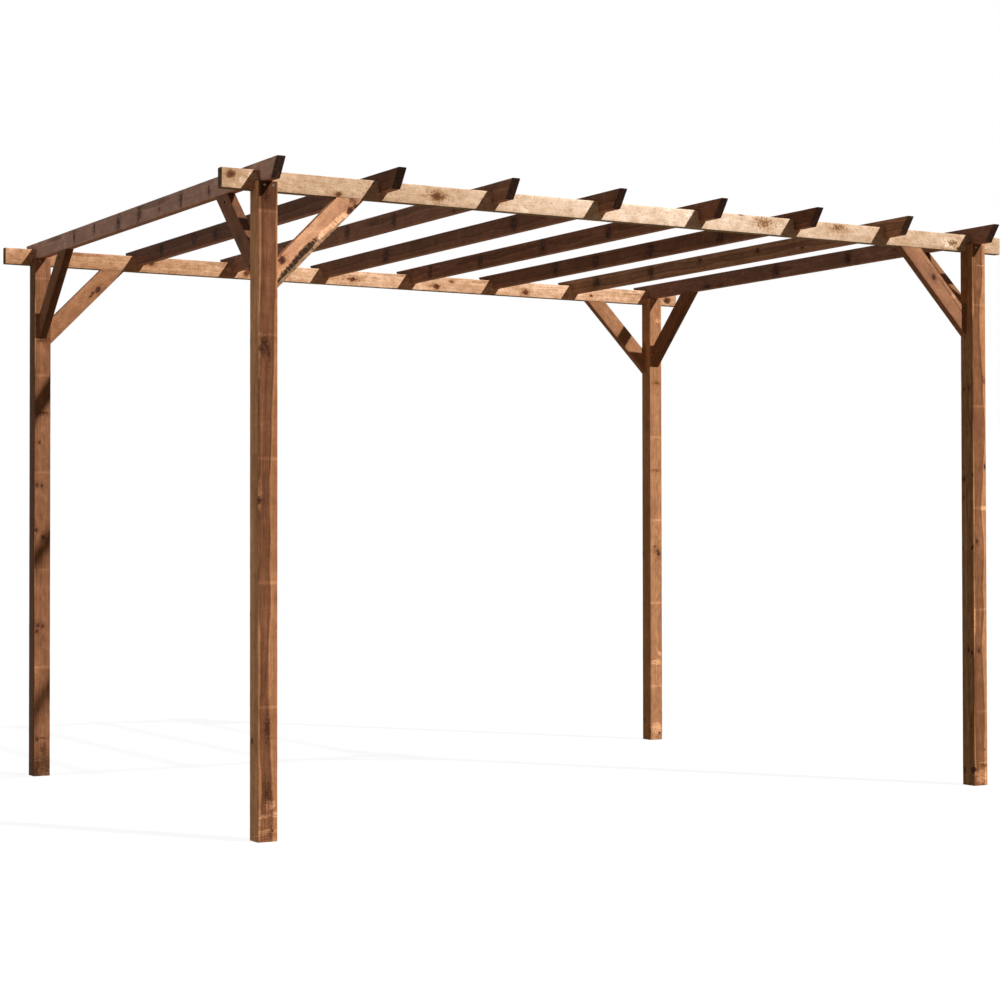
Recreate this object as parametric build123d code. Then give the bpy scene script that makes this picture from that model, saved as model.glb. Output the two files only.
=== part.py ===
from build123d import *
import math
import os

os.makedirs("parts", exist_ok=True)

# Driving sizes, in millimetres.
# X runs along the beams, Y along the rafters (the front is -Y), Z is up from the ground.
post_side = 74.0
span_x = 3360.0
span_y = 2484.0
shoulder_z = 2260.0
beam_thick = 35.0
beam_deep = 72.0
beam_overhang = 120.0
rafter_thick = 35.0
rafter_deep = 72.0
rafter_overhang = 108.0
rafter_rake = 50.0
rafter_count = 8
notch_deep = 42.0
notch_slack = 0.5
brace_thick = 35.0
brace_deep = 78.0
brace_reach = 358.0
arris = 2.5

# Places that follow from them.
tongue_thick = post_side - beam_thick
beam_top = shoulder_z + beam_deep
rafter_under = beam_top - notch_deep
rafter_top = rafter_under + rafter_deep
post_x = (span_x - post_side) / 2
post_y = (span_y - post_side) / 2
beam_step = tongue_thick + beam_thick / 2 - post_side / 2
rows = {"front": -post_y, "rear": post_y}
sides = {"left": -post_x, "right": post_x}


def bar(length, wide, high, start):
    """A planed timber with eased arrises, run out from the start plane along its normal."""
    return extrude(start * RectangleRounded(wide, high, arris), amount=length)


def make_post():
    """A post standing on its foot, its head halved from behind to leave a tongue in front."""
    body = bar(rafter_under, post_side, post_side, Plane.XY)
    halving = Pos(0, tongue_thick, shoulder_z) * Box(
        2 * post_side, post_side, beam_deep, align=(Align.CENTER, Align.CENTER, Align.MIN)
    )
    return body - halving


def make_beam():
    """A square-cut beam on edge, centred on the middle of its underside."""
    length = span_x + 2 * beam_overhang
    start = Plane(origin=(-length / 2, 0, beam_deep / 2), x_dir=(0, 1, 0), z_dir=(1, 0, 0))
    return bar(length, beam_thick, beam_deep, start)


def make_rafter():
    """A rafter with both ends raked back underneath and a notch to drop over each beam."""
    half = span_y / 2 + rafter_overhang
    start = Plane(origin=(0, -half, rafter_under + rafter_deep / 2), x_dir=(-1, 0, 0), z_dir=(0, 1, 0))
    body = bar(2 * half, rafter_thick, rafter_deep, start)
    outline = Polyline(
        (-half, rafter_top),
        (rafter_rake - half, rafter_under),
        (half - rafter_rake, rafter_under),
        (half, rafter_top),
        close=True,
    )
    raked = extrude(Plane.YZ * make_face(outline), amount=rafter_thick, both=True)
    body = body & raked
    for row_y in rows.values():
        notch = Pos(0, row_y + beam_step, beam_top) * Box(
            2 * rafter_thick,
            beam_thick + 2 * notch_slack,
            2 * notch_deep,
            align=(Align.CENTER, Align.CENTER, Align.MAX),
        )
        body = body - notch
    return body


def make_brace():
    """A 45 degree knee brace in the corner of a post face at x = 0 and a head at z = 0.

    It runs up from the post towards +X, and both ends are mitred to lie flat.
    """
    step = 1 / math.sqrt(2)
    middle = brace_reach - brace_deep * step
    spare = 2 * brace_deep
    start = Plane(
        origin=(-spare * step, 0, -middle - spare * step),
        x_dir=(0, 1, 0),
        z_dir=(step, 0, step),
    )
    body = bar(middle / step + 2 * spare, brace_thick, brace_deep, start)
    corner = Box(
        brace_reach,
        2 * brace_thick,
        brace_reach,
        align=(Align.MIN, Align.CENTER, Align.MAX),
    )
    return body & corner


post = make_post()
beam = make_beam()
rafter = make_rafter()
brace = make_brace()
nodes = {}

# The four posts, and a beam on the shoulders of each row.
for row, row_y in rows.items():
    for side, side_x in sides.items():
        nodes["post_" + row + "_" + side] = Pos(side_x, row_y, 0) * post
    nodes["beam_" + row] = Pos(0, row_y + beam_step, shoulder_z) * beam

# Rafters at even steps, the end ones centred over the posts.
rafter_step = 2 * post_x / (rafter_count - 1)
for i in range(rafter_count):
    nodes["rafter_" + str(i + 1)] = Pos(i * rafter_step - post_x, 0, 0) * rafter

# Two knee braces to each post: one up to its beam, one up to the end rafter over it.
for row, row_y in rows.items():
    inward_y = 1 if row == "front" else -1
    for side, side_x in sides.items():
        inward_x = 1 if side == "left" else -1
        to_beam = Pos(side_x + inward_x * post_side / 2, row_y + beam_step, shoulder_z)
        to_rafter = Pos(side_x, row_y + inward_y * post_side / 2, rafter_under)
        turn = 0 if side == "left" else 180
        nodes["brace_to_beam_" + row + "_" + side] = to_beam * Rot(0, 0, turn) * brace
        nodes["brace_to_rafter_" + row + "_" + side] = to_rafter * Rot(0, 0, 90 * inward_y) * brace

for name, shape in nodes.items():
    export_step(shape, "parts/" + name + ".step")
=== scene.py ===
import math
import random

import bmesh
import bpy
from bpy.props import FloatProperty, FloatVectorProperty, IntProperty, PointerProperty
from mathutils import Matrix, Vector


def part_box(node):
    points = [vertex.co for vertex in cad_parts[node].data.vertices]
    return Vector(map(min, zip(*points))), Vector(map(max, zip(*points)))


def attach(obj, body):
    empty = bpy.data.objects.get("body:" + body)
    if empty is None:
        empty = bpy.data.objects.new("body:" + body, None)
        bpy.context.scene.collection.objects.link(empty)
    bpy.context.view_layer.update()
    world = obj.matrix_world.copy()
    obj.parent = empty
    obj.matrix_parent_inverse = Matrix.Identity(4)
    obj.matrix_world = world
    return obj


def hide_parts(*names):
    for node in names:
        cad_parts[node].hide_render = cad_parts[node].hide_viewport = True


bl_info = {
    "name": "Timber pergola",
    "version": (1, 0, 0),
    "blender": (4, 5, 0),
    "location": "3D View > Sidebar > Pergola",
    "description": "Dresses the pergola's frame in stained, planed pine and sets it in a pale studio",
    "category": "Object",
}

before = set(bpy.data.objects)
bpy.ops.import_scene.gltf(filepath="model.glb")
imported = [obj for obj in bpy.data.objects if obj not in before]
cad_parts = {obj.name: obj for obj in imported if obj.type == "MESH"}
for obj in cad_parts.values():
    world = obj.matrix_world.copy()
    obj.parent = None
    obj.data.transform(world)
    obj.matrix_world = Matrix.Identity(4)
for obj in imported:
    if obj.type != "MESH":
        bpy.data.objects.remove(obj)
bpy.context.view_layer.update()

ROWS = ("front", "rear")
SIDES = ("left", "right")
X, Y, Z = Vector((1, 0, 0)), Vector((0, 1, 0)), Vector((0, 0, 1))
MATH, VECTOR, STEP = "ShaderNodeMath", "ShaderNodeVectorMath", "ShaderNodeMapRange"
NOISE, MIX = "ShaderNodeTexNoise", "ShaderNodeMix"

# Sizes of the joints and their saw cuts, in metres.
NOTCH_SLACK = 0.0005
SAW_SPARE = 0.03
RAKE_SPARE = 0.02
RAKE_REACH = 0.08
MITRE_REACH = 0.2
END_SPARE = 0.004
WANE_LENGTH = 0.47
# Screws: across a tongue and up from its foot, and out from the post and down from the head on a brace.
TONGUE_SCREWS = ((-0.013, 0.016), (0.020, 0.016))
BRACE_SCREWS = ((0.268, 0.030), (0.046, 0.285))
HEAD_SINK = 0.0009
# A screw's hole: at each level its radius in parts of the head's, its height, and 1 where it sinks deeper.
HOLE = ((1.3, 0.0004, 0), (1.15, -0.0008, 1), (0.5, -0.004, 1))
HOLE_SIDES = 16
# The waney brace has closer cross-sections and more cuts across its sides, so that its edge can be rough.
WANE_STATION, WANE_CUTS, SIDE_CUTS = 0.004, 9, 3

# The rest is in millimetres in a timber's own directions: right is +x, back is +y, and z runs along it.
MM = 1000
# How deep a broad mark goes at least, how far out the marked faces are, and a distance beyond every mark.
MARK_DEPTH = 12
POST_FACE, BOARD_FACE = 37, 18
FAR = 9.0
# What tells an end, a cut, the wane and a side from other faces: how a face turns, and how far in it lies.
END_FACING, CUT_INSET, WANE_FACING, WANE_INSET, SIDE_FACING = 0.5, 1.6, -0.35, 3.0, 0.8
# Knots placed by rule: where the first may be, the step to the next, the radius, how far off a side's
# middle as a part of its half width, and how far they keep from the timber's end.
FIRST_KNOT, KNOT_STEP, KNOT_RADIUS, KNOT_OFF, KNOT_CLEAR = (120, 380), (260, 620), (5, 11), 0.7, 60
# How far marks are moved about so that none is a true ellipse, and how far apart the timbers' seeds are.
WOBBLE = (9.0, 9.0, 22.0)
SEED_STEP = 3.7

# What the wood pattern is given unless a kind or a timber has its own.
PLAIN = {
    "Ring width": 3.2, "Heart radius": 24, "Wander": 14, "Tone": 1.0, "Warmth": 0.25, "Whorl": 0.85,
    "Figure": 0.6, "Flecks": 0.1, "Strokes": 0.1, "Foot": 0, "Stickers": (0, 430, 0.35),
    "Knot": FAR, "Bar": FAR, "Pale": FAR, "Bark": FAR,
}
KINDS = {
    "post": {"Whorl": 0.45, "Figure": 1.0, "Foot": 150},
    "beam": {"Whorl": 1.4},
    "rafter": {"Whorl": 1.35},
    "brace": {"Heart radius": 5},
}
# The sides that the marks below leave out, where knots are placed by rule.
OPEN_SIDES = {
    "post": "right back", "beam": "right back", "rafter": "left front back", "brace": "right back front",
}

# The marks and tones of each timber. Tint is its strength against its kind, and the side given with a colour
# has painted
# light and shade: that face is coloured lighter or darker by how it is lit.
# Heart and girth are where the heartwood runs across the timber and its radius, and tone is the depth of
# stain, each as (z, value). A side's knots are (across, along, radius). Its bars are dark whorls and its
# pales are scuffs, and they and bark are (across, along, half height, half length).
MARKS = {
    "post_front_left": {
        # Its left face's paler colour is painted light from the open left side.
        "pith": (0, -18), "Wander": 3, "painted_side": ("left", "#CA9467"), "tint": (0.88, 0.83, 0.81),
        "Stickers": (465, 430, 1.0),
        "heart": (
            (0, -8), (200, -6), (330, -10), (620, -12), (960, -13), (1181, -14), (1450, -12), (1720, -4),
            (2000, 0), (2330, 1),
        ),
        "girth": ((0, 28), (330, 28), (620, 26), (900, 27), (1250, 29), (1600, 33), (2150, 34), (2330, 38)),
        "tone": ((0, 0.98), (900, 1.0), (1200, 1.08), (2170, 1.1), (2200, 1.3), (2330, 1.35)),
        "front knots": ((-22, 1704, 13), (-34, 1181, 9), (16, 40, 5)),
        "front bars": (
            (-8, 2244, 16, 30), (0, 2290, 10, 8), (-12, 1722, 14, 34), (2, 1690, 8, 40), (-4, 395, 16, 60),
            (-2, 172, 18, 48),
        ),
        "front pales": (
            (8, 126, 20, 14), (-14, 88, 20, 5), (20, 95, 18, 12), (-30, 1200, 7, 70), (5, 40, 26, 5),
        ),
        "left knots": ((14, 346, 9), (30, 1734, 6), (33, 790, 5)),
    },
    "post_front_right": {
        # Its left face's own colour is painted shade.
        "tint": (1.1, 1.08, 1.02), "painted_side": ("left", "#A57951"), "pith": (-8, -14), "Heart radius": 33,
        "Stickers": (312, 430, 0.8),
        "front knots": ((31, 1348, 9), (-19, 1030, 8), (-9, 571, 7), (17, 148, 4), (-35, 72, 9)),
        "front bars": ((25, 1714, 14, 20), (20, 82, 22, 8)),
        "front pales": (
            (10, 2199, 22, 5), (22, 1172, 20, 12), (-30, 700, 5, 60), (0, 40, 34, 30), (10, 98, 24, 3),
        ),
        "left knots": (
            (17, 1675, 6), (-10, 1681, 6), (19, 1296, 7), (-31, 1314, 5), (21, 1218, 4), (-28, 1005, 9),
            (31, 1000, 5), (-3, 572, 8), (-25, 560, 7), (24, 64, 7), (-24, 64, 11),
        ),
        "left bars": ((-18, 259, 4, 40),),
    },
    "post_rear_left": {
        # Its left face's dark colour is painted shade.
        "pith": (4, -10), "Heart radius": 50, "tint": (1.15, 1.15, 1.15), "painted_side": ("left", "#5C3C23"),
        "Stickers": (480, 430, 0.8),
        "front knots": (
            (-25, 1284, 7), (-3, 1280, 7), (-29, 1085, 9), (4, 1054, 8), (-20, 666, 8), (2, 661, 6),
            (-25, 639, 7), (-23, 164, 6), (-14, 1473, 7),
        ),
        "front bars": ((0, 1927, 34, 12), (0, 1603, 34, 10), (3, 165, 36, 5), (3, 120, 16, 22)),
        "front pales": ((-18, 70, 16, 4), (8, 22, 30, 22)),
    },
    "post_rear_right": {
        # Its left face's own colour is painted light and shade, set by how that face is lit.
        "pith": (14, 30), "Heart radius": 20, "tint": (1.05, 1.05, 1.1), "painted_side": ("left", "#BA8151"),
        "Stickers": (278, 430, 0.9),
        "front knots": ((15, 962, 9), (-8, 1000, 5), (17, 38, 6)),
        "front bars": ((6, 1850, 34, 8), (1, 1395, 34, 7), (10, 975, 26, 8)),
        "front pales": ((16, 2172, 20, 10), (20, 444, 12, 14), (0, 400, 34, 14), (0, 60, 34, 30)),
        "left knots": ((28, 105, 8), (33, 957, 6)),
    },
    "beam_front": {
        # Its underside's dark colour is painted shade.
        "pith": (60, -20), "Heart radius": 20, "Warmth": 0.65, "painted_side": ("front", "#8E7040"),
        "Flecks": 0.38, "Strokes": 0.25,
        "tone": (
            (0, 1.3), (300, 1.22), (700, 1.15), (1200, 0.87), (1900, 0.66), (2600, 0.9), (3200, 1.1),
            (3600, 1.1),
        ),
        "left knots": ((14, 34, 15), (-24, 449, 9), (-2, 846, 14), (-24, 3360, 6)),
        "left bars": (
            (-26, 440, 12, 22), (9, 2336, 30, 55), (18, 2714, 18, 45), (-3, 3335, 22, 40), (0, 850, 24, 50),
        ),
        "left pales": ((-3, 3320, 26, 60), (12, 118, 16, 22), (-6, 80, 18, 14)),
    },
    "beam_rear": {
        "pith": (-34, 26), "Heart radius": 14, "Warmth": 0.55, "Figure": 1.0, "Flecks": 0.3,
        # Its underside's dark colour is painted shade.
        "painted_side": ("front", "#7A5A36"), "Strokes": 0.3,
        "tone": ((0, 1.15), (700, 1.05), (1300, 0.74), (2200, 0.78), (3000, 0.7), (3600, 0.9)),
        "left knots": (
            (7, 684, 7), (-9, 1153, 10), (-4, 1710, 11), (-12, 2167, 13), (-15, 2678, 12), (-8, 3072, 7),
            (-8, 3543, 17),
        ),
        "left bars": (
            (13, 3328, 5, 50), (-9, 1190, 5, 60), (-4, 1153, 24, 16), (8, 684, 20, 14), (-10, 2150, 9, 44),
            (-13, 2678, 18, 30), (-5, 1700, 9, 46), (14, 2250, 8, 20),
        ),
    },
    "rafter_1": {
        "tint": (1.08, 1.09, 1.1),
        "right knots": ((13, 1085, 5), (-20, 1310, 6), (-10, 1085, 6)),
        "right bars": (
            (0, 865, 34, 22), (5, 1297, 34, 28), (-4, 1530, 34, 27), (10, 1812, 24, 15), (6, 2061, 34, 14),
            (-5, 593, 24, 15),
        ),
    },
    "rafter_2": {
        "tint": (0.43, 0.33, 0.26),
        "right knots": ((15, 1647, 6), (5, 1874, 11), (-12, 1600, 7)),
        "right bars": ((5, 1874, 30, 30), (0, 1640, 30, 30), (5, 2247, 30, 28)),
    },
    "rafter_3": {
        "tint": (0.78, 0.64, 0.54),
        "right knots": ((11, 1352, 9), (3, 932, 8), (-30, 435, 7)),
        "right bars": ((0, 1352, 34, 28), (0, 932, 34, 24), (20, 1906, 30, 28)),
    },
    "rafter_4": {
        "tint": (0.64, 0.5, 0.38),
        "right knots": ((-5, 1913, 10), (-3, 1434, 7), (1, 775, 9)),
        "right bars": ((-5, 1905, 34, 30), (1, 775, 34, 30)),
        "right pales": ((0, 1231, 34, 2), (0, 2298, 34, 2)),
    },
    "rafter_5": {
        "tint": (0.63, 0.46, 0.33),
        "right knots": ((7, 2350, 8), (10, 1869, 9), (8, 1314, 9), (4, 795, 8)),
        "right bars": ((0, 2350, 34, 28), (0, 1869, 34, 28), (0, 1314, 34, 28), (0, 795, 34, 28)),
        "right pales": ((0, 1215, 34, 2),),
    },
    "rafter_6": {
        "tint": (0.62, 0.45, 0.32),
        "right knots": ((9, 1964, 9), (1, 1613, 10), (-2, 1176, 11), (-9, 647, 9), (-24, 1210, 7)),
        "right bars": ((0, 1964, 34, 28), (0, 1613, 34, 28), (0, 1170, 34, 30), (-9, 647, 30, 30)),
        "right pales": ((0, 1393, 34, 2), (0, 936, 34, 2)),
    },
    "rafter_7": {
        "tint": (1.15, 1.0, 0.74),
        "right knots": ((1, 2329, 10), (5, 1848, 9), (12, 1449, 11), (8, 1005, 12), (-15, 687, 7)),
        "right bars": ((0, 2329, 34, 34), (0, 1848, 34, 28)),
    },
    "rafter_8": {
        "tint": (0.72, 0.61, 0.54),
        "right knots": ((2, 1479, 11), (7, 946, 8)),
        "right bars": ((0, 1479, 34, 28), (0, 946, 34, 28), (-22, 2043, 12, 34)),
        "right pales": ((0, 1740, 34, 2),),
    },
    "brace_to_beam_front_left": {
        "tint": (1.38, 1.44, 1.6), "Figure": 0.25, "Flecks": 0.15, "Strokes": 0.3,
        "left knots": ((-28, 436, 13), (-34, 462, 8), (22, 111, 11), (27, 118, 8)),
        "left bars": ((-8, 470, 30, 22), (26, 108, 9, 24)),
        "left pales": ((-15, 300, 9, 52), (-21, 370, 9, 46), (-27, 412, 8, 20)),
        "left bark": ((-28, 36, 13, 50), (-19, 112, 15, 64), (-13, 196, 12, 72)),
    },
    "brace_to_beam_front_right": {
        "tint": (0.77, 0.73, 0.79), "Figure": 0.3, "Strokes": 0.2, "open": "left back front",
        "right knots": ((4, 295, 11),),
        "right pales": ((26, 167, 8, 14),),
    },
    "brace_to_beam_rear_right": {"tint": (0.82, 0.79, 0.78), "Figure": 0.3, "open": "left back front"},
    "brace_to_beam_rear_left": {
        "tint": (0.7, 0.65, 0.62), "Figure": 0.3, "Strokes": 0.3,
        "left knots": ((-14, 354, 12), (-8, 322, 5)),
        "left bars": ((-12, 318, 6, 22),),
    },
    "brace_to_rafter_front_left": {"tint": (0.33, 0.29, 0.3)},
    "brace_to_rafter_front_right": {"tint": (0.5, 0.46, 0.42)},
    "brace_to_rafter_rear_left": {"tint": (0.3, 0.25, 0.2)},
    "brace_to_rafter_rear_right": {"tint": (0.42, 0.36, 0.3)},
}


def colour(text):
    """An sRGB hex colour as linear red, green, blue and alpha."""
    parts = [int(text[i : i + 2], 16) / 255 for i in (1, 3, 5)]
    return [p / 12.92 if p <= 0.04045 else ((p + 0.055) / 1.055) ** 2.4 for p in parts] + [1.0]


def add(tree, kind, inputs=None, **settings):
    """Adds a node, sets its settings, and fills or links its inputs."""
    node = tree.nodes.new(kind)
    for name, value in settings.items():
        setattr(node, name, value)
    for key, value in (inputs or {}).items():
        if isinstance(value, bpy.types.Node):
            value = value.outputs[0]
        if isinstance(value, bpy.types.NodeSocket):
            tree.links.new(value, node.inputs[key])
        else:
            node.inputs[key].default_value = value
    return node


def emptied(holder):
    """The node tree of a new material or world, without the nodes that it comes with."""
    holder.use_nodes = True
    holder.node_tree.nodes.clear()
    return holder.node_tree


def new_group(name, family, inputs, outputs):
    """A new node group with these inputs and outputs, whose names are listed by kind."""
    tree = bpy.data.node_groups.new(name, family)
    for way, kinds in (("INPUT", inputs), ("OUTPUT", outputs)):
        for kind, names in kinds.items():
            for socket in names:
                tree.interface.new_socket(socket, in_out=way, socket_type="NodeSocket" + kind)
    return tree


def work_out(tree, known, steps):
    """Adds a calculation's nodes to what is known, from steps of a name, an operation and its parts."""
    for name, operation, *parts in steps:
        inputs = {i: known.get(part, part) for i, part in enumerate(parts)}
        if operation in ("LINEAR", "SMOOTHSTEP"):
            known[name] = add(tree, STEP, inputs, interpolation_type=operation)
        else:
            known[name] = add(tree, MATH, inputs, operation=operation)


def bell(name, value, middle, narrow):
    """The steps of a spread about a middle, which dies away the quicker the lower the last number is."""
    return (
        (name, "SUBTRACT", value, middle), (name, "MULTIPLY", name, name), (name, "MULTIPLY", name, narrow),
        (name, "EXPONENT", name),
    )


def pile(name, *terms):
    """The steps that add some patterns to a value, each by its weight."""
    return [(name, "MULTIPLY_ADD", pattern, weight, name) for pattern, weight in terms]


def block(low, high):
    """The eight corners of an upright block."""
    return [(x, y, z) for x in (low[0], high[0]) for y in (low[1], high[1]) for z in (low[2], high[2])]


def drill(place, outward, head, sunk):
    """The corners of a countersunk hole whose mouth is a little wider than its screw's head."""
    side = outward.orthogonal().normalized()
    other = outward.cross(side)
    corners = []
    for part, height, sinks in HOLE:
        middle = place + outward * (height - sinks * sunk)
        for i in range(HOLE_SIDES):
            turn = math.tau * i / HOLE_SIDES
            corners.append(middle + head * part * (math.cos(turn) * side + math.sin(turn) * other))
    return corners


def carve(piece, cuts):
    """Takes the hull of each list of corners away from a piece, one cut at a time."""
    cutters = []
    for corners in cuts:
        saw = bmesh.new()
        bmesh.ops.convex_hull(saw, input=[saw.verts.new(corner) for corner in corners])
        bmesh.ops.recalc_face_normals(saw, faces=saw.faces)
        mesh = bpy.data.meshes.new("saw_cut")
        saw.to_mesh(mesh)
        saw.free()
        cutter = bpy.data.objects.new("saw_cut", mesh)
        bpy.context.scene.collection.objects.link(cutter)
        cut = piece.modifiers.new("cut", "BOOLEAN")
        cut.operation, cut.solver, cut.object = "DIFFERENCE", "EXACT", cutter
        cutters.append(cutter)
    settle(piece)
    for cutter in cutters:
        mesh = cutter.data
        bpy.data.objects.remove(cutter)
        bpy.data.meshes.remove(mesh)


def settle(piece):
    """Turns what a piece's modifiers make into its own plain mesh, and drops them."""
    graph = bpy.context.evaluated_depsgraph_get()
    graph.update()
    made = bpy.data.meshes.new_from_object(piece.evaluated_get(graph))
    old = piece.data
    piece.modifiers.clear()
    piece.data = made
    made.name = piece.name
    bpy.data.meshes.remove(old)


def grow(name, tree, values):
    """A new object whose mesh comes from a node tree with these named input values."""
    piece = bpy.data.objects.new(name, bpy.data.meshes.new(name))
    bpy.context.scene.collection.objects.link(piece)
    modifier = piece.modifiers.new("shape", "NODES")
    modifier.node_group = tree
    for item in tree.interface.items_tree:
        if item.in_out == "INPUT" and item.name in values:
            modifier[item.identifier] = values[item.name]
    return piece


def inward_of(brace):
    """1 where a brace runs from its post towards +X or +Y, and -1 where it runs the other way."""
    near = "left" if "to_beam" in brace else "front"
    return 1 if near in brace else -1


def directions(node):
    """A timber's own across, deep and long directions."""
    if node.startswith("post"):
        return X, Y, Z
    if node.startswith("beam"):
        return Y, Z, X
    if node.startswith("rafter"):
        return -X, Z, Y
    inward = inward_of(node)
    across, run = (Y, X) if "to_beam" in node else (-X * inward, Y)
    return across, (Z - inward * run).normalized(), (Z + inward * run).normalized()


def timber_frame(node):
    """A timber's directions as a matrix from its start, and its width, depth and length."""
    across, deep, long = directions(node)
    if across.cross(deep).dot(long) < 0:
        across = -across
    spans = []
    for way in (across, deep, long):
        reach = [way.dot(v.co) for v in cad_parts[node].data.vertices]
        spans.append((min(reach), max(reach)))
    start = across * sum(spans[0]) / 2 + deep * sum(spans[1]) / 2 + long * spans[2][0]
    turn = Matrix((across, deep, long)).transposed().to_4x4()
    return Matrix.Translation(start) @ turn, [high - low for low, high in spans]


def screw_places():
    """Where each screw's head lies, as the timber it is in, the place and the way it faces."""
    places = []
    for row in ROWS:
        low_beam, high_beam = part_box("beam_" + row)
        for side in SIDES:
            post = "post_" + row + "_" + side
            low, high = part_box(post)
            for step, up in TONGUE_SCREWS:
                places.append((post, Vector(((low.x + high.x) / 2 + step, low.y, low_beam.z + up)), -Y))
            for head, axis, outward in (("rafter_", 1, -X), ("beam_", 0, Y)):
                brace = "brace_to_" + head + row + "_" + side
                low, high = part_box(brace)
                inward = inward_of(brace)
                for out, down in BRACE_SCREWS:
                    place = Vector((low.x, high.y, high.z - down))
                    place[axis] = (low if inward > 0 else high)[axis] + inward * out
                    places.append((brace, place, outward))
        for node in sorted(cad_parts):
            if node.startswith("rafter"):
                low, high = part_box(node)
                middle = ((low.x + high.x) / 2, (low_beam.y + high_beam.y) / 2, high.z)
                places.append((node, Vector(middle), Z))
    return places


def post_cuts(node, low, high):
    """The halving that leaves a tongue in front of the beam."""
    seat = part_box("beam_" + node.split("_")[1])[0]
    return [block((low.x - SAW_SPARE, seat.y, seat.z), high + Vector((SAW_SPARE,) * 3))]


def rafter_cuts(node, low, high):
    """A notch over each beam, and both ends raked back underneath."""
    left, right = low.x - SAW_SPARE, high.x + SAW_SPARE
    cuts = []
    for row in ROWS:
        beam_low, beam_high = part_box("beam_" + row)
        near, far = beam_low.y - NOTCH_SLACK, beam_high.y + NOTCH_SLACK
        cuts.append(block((left, near, low.z - SAW_SPARE), (right, far, beam_high.z)))
    flat = [v.co.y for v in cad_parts[node].data.vertices if v.co.z < low.z + 1e-5]
    top, under = high.z + RAKE_SPARE, low.z - RAKE_SPARE
    for tip, foot, out in ((low.y, min(flat), -1), (high.y, max(flat), 1)):
        slope = (foot - tip) / (high.z - low.z)
        away = tip + out * RAKE_REACH
        rake = ((tip - RAKE_SPARE * slope, top), (foot + RAKE_SPARE * slope, under))
        profile = (*rake, (away, under), (away, top))
        cuts.append([(x, y, z) for x in (left, right) for y, z in profile])
    return cuts


def brace_cuts(node, low, high):
    """The mitres that lay a brace flat under its head and against its post."""
    reach = MITRE_REACH
    head = block((low.x - reach, low.y - reach, high.z), (high.x + reach, high.y + reach, high.z + reach))
    inward = inward_of(node)
    axis = 0 if "to_beam" in node else 1
    wall = [low - Vector((reach,) * 3), high + Vector((reach,) * 3)]
    wall[1 if inward > 0 else 0][axis] = (low if inward > 0 else high)[axis]
    return [head, block(*wall)]


def cuts_of(node):
    """The cuts that turn a straight timber into this one, as lists of corners."""
    low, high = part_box(node)
    cuts = []
    for kind, saw in (("post", post_cuts), ("rafter", rafter_cuts), ("brace", brace_cuts)):
        if node.startswith(kind):
            cuts = saw(node, low, high)
    screws = bpy.context.scene.pergola_screws
    sunk = screws.brace_sink if node.startswith("brace") else 0.0
    for host, place, outward in screw_places():
        if host == node:
            cuts.append(drill(place, outward, screws.head_radius, sunk))
    return cuts


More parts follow.
